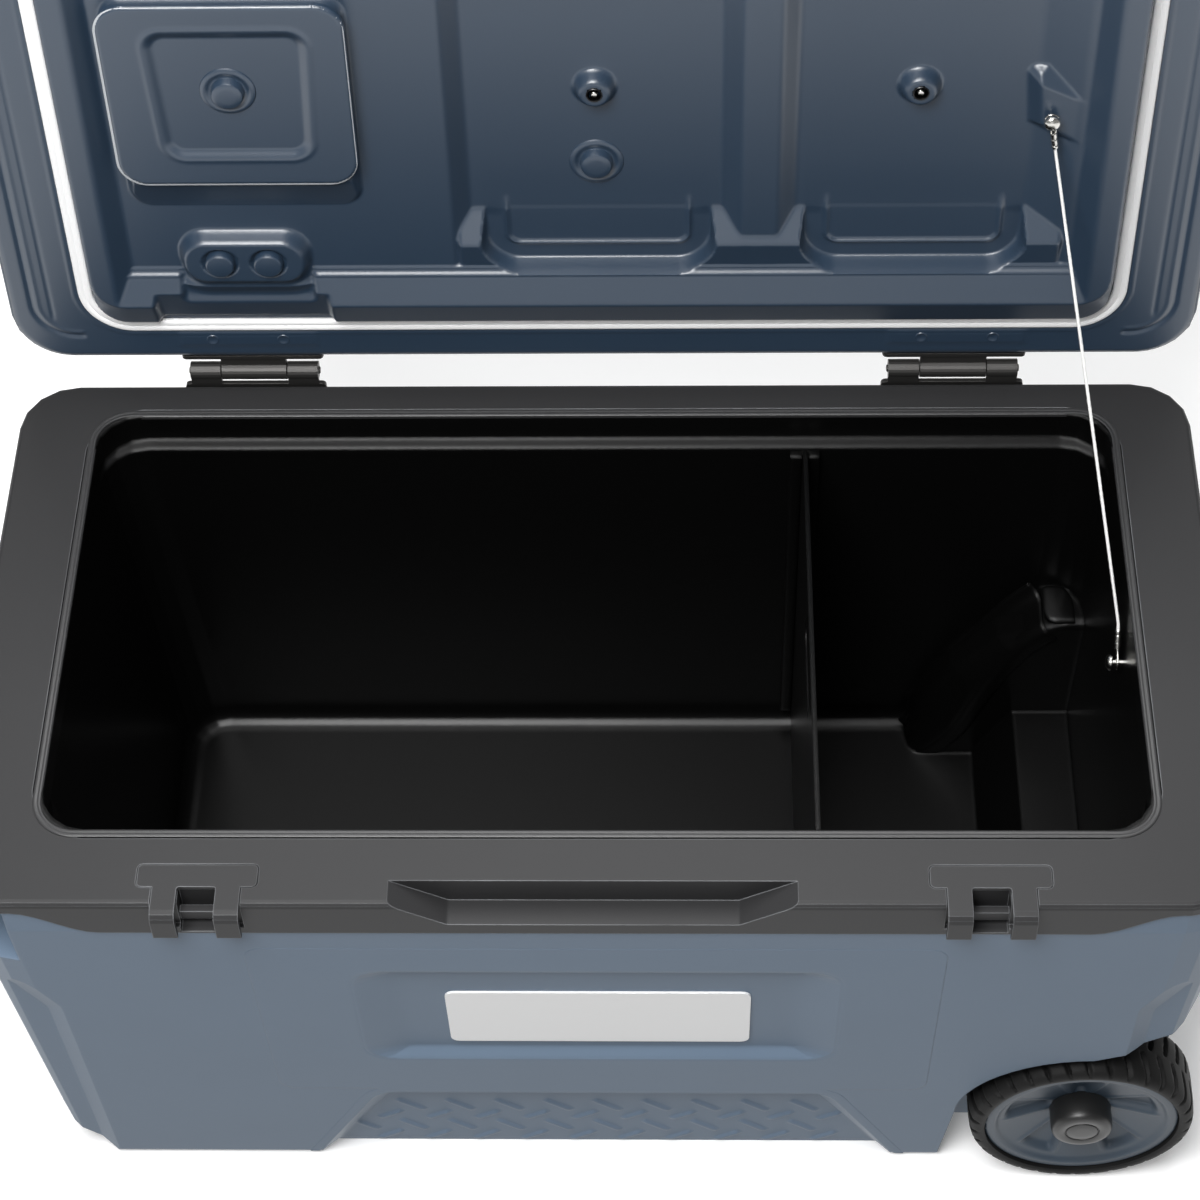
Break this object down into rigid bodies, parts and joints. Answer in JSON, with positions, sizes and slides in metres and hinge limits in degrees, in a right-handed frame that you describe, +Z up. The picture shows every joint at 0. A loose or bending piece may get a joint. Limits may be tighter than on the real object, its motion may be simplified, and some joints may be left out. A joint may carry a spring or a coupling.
{
  "type": "wheeled hard cooler box",
  "caption": "Insulated hard cooler box with open hinged lid, gasket, stay cable, divider board, end grips and wheels at one end.",
  "frame": {"origin": "centre of the box's footprint on the ground, z = 0 under the feet", "axes": "+X to the wheel end, +Y to the hinge side, +Z up"},
  "size_m": [0.7848, 0.5075, 0.8138],
  "materials": {
    "shell_blue_plastic": "satin moulded",
    "lid_blue_plastic": "satin moulded",
    "collar_charcoal_plastic": "fine texture",
    "liner_black_plastic": "satin moulded",
    "insulation_foam": "expanded foam, hidden",
    "gasket_white_rubber": "soft matte",
    "bright_steel": "bright",
    "hinge_dark_metal": "satin dark",
    "tyre_black_rubber": "matte",
    "hub_blue_plastic": "satin moulded",
    "black_plastic": "satin moulded",
    "plate_white_enamel": "smooth satin"
  },
  "bodies": {
    "cooler": {"outer_shell": "shell_blue_plastic", "foam_core": "insulation_foam", "inner_liner": "liner_black_plastic", "rim_collar": "collar_charcoal_plastic", "label_plate": "plate_white_enamel", "axle": "bright_steel", "drain_spout": "black_plastic", "drain_seal": "black_plastic", "keeper_left": "collar_charcoal_plastic", "keeper_right": "collar_charcoal_plastic", "hinge_body_leaf_left": "hinge_dark_metal", "hinge_body_leaf_right": "hinge_dark_metal", "hinge_pin_left": "bright_steel", "hinge_pin_right": "bright_steel", "divider_guide_front": "liner_black_plastic", "divider_guide_rear": "liner_black_plastic", "cable_screw_lower": "bright_steel", "cable_ferrule_lower": "bright_steel", "stay_cable": "bright_steel"},
    "lid": {"lid_shell": "lid_blue_plastic", "lid_foam": "insulation_foam", "lid_liner": "lid_blue_plastic", "lid_gasket": "gasket_white_rubber", "compartment_panel": "lid_blue_plastic", "compartment_plug": "lid_blue_plastic", "middle_plug": "lid_blue_plastic", "small_plug_left": "lid_blue_plastic", "small_plug_right": "lid_blue_plastic", "insert_middle": "bright_steel", "insert_right": "bright_steel", "cable_screw_upper": "bright_steel", "cable_ferrule_upper": "bright_steel", "hinge_lid_leaf_left": "hinge_dark_metal", "hinge_lid_leaf_right": "hinge_dark_metal", "latch_pin_left": "bright_steel", "latch_pin_right": "bright_steel"},
    "latch_left": {"latch_left": "black_plastic"},
    "latch_right": {"latch_right": "black_plastic"},
    "wheel_front": {"wheel_hub_front": "hub_blue_plastic", "wheel_tyre_front": "tyre_black_rubber", "wheel_cap_front": "black_plastic"},
    "wheel_rear": {"wheel_hub_rear": "hub_blue_plastic", "wheel_tyre_rear": "tyre_black_rubber", "wheel_cap_rear": "black_plastic"},
    "divider": {"divider_board": "liner_black_plastic"},
    "drain_plug": {"drain_plug": "black_plastic"}
  },
  "joints": [
    {"name": "lid_hinge", "type": "hinge", "parent": "cooler", "child": "lid", "pos_m": [0, 0.2107, 0.384], "axis": [1, 0, 0], "range_deg": [0, 94.42], "deforming": ["stay_cable"]},
    {"name": "latch_left_hinge", "type": "hinge", "parent": "lid", "child": "latch_left", "pos_m": [-0.2355, 0.26022, 0.79109], "axis": [-1, 0, 0], "range_deg": [0, 100]},
    {"name": "latch_right_hinge", "type": "hinge", "parent": "lid", "child": "latch_right", "pos_m": [0.2355, 0.26022, 0.79109], "axis": [-1, 0, 0], "range_deg": [0, 100]},
    {"name": "wheel_front_spin", "type": "hinge", "parent": "cooler", "child": "wheel_front", "pos_m": [0.32, -0.1705, 0.075], "axis": [0, 1, 0], "continuous": true},
    {"name": "wheel_rear_spin", "type": "hinge", "parent": "cooler", "child": "wheel_rear", "pos_m": [0.32, 0.1705, 0.075], "axis": [0, 1, 0], "continuous": true},
    {"name": "divider_lift", "type": "slide", "parent": "cooler", "child": "divider", "axis": [0, 0, -1], "range_m": [-0.31, 0]},
    {"name": "drain_plug_draw", "type": "slide", "parent": "cooler", "child": "drain_plug", "axis": [-1, 0, 0], "range_m": [0, 0.04]}
  ]
}
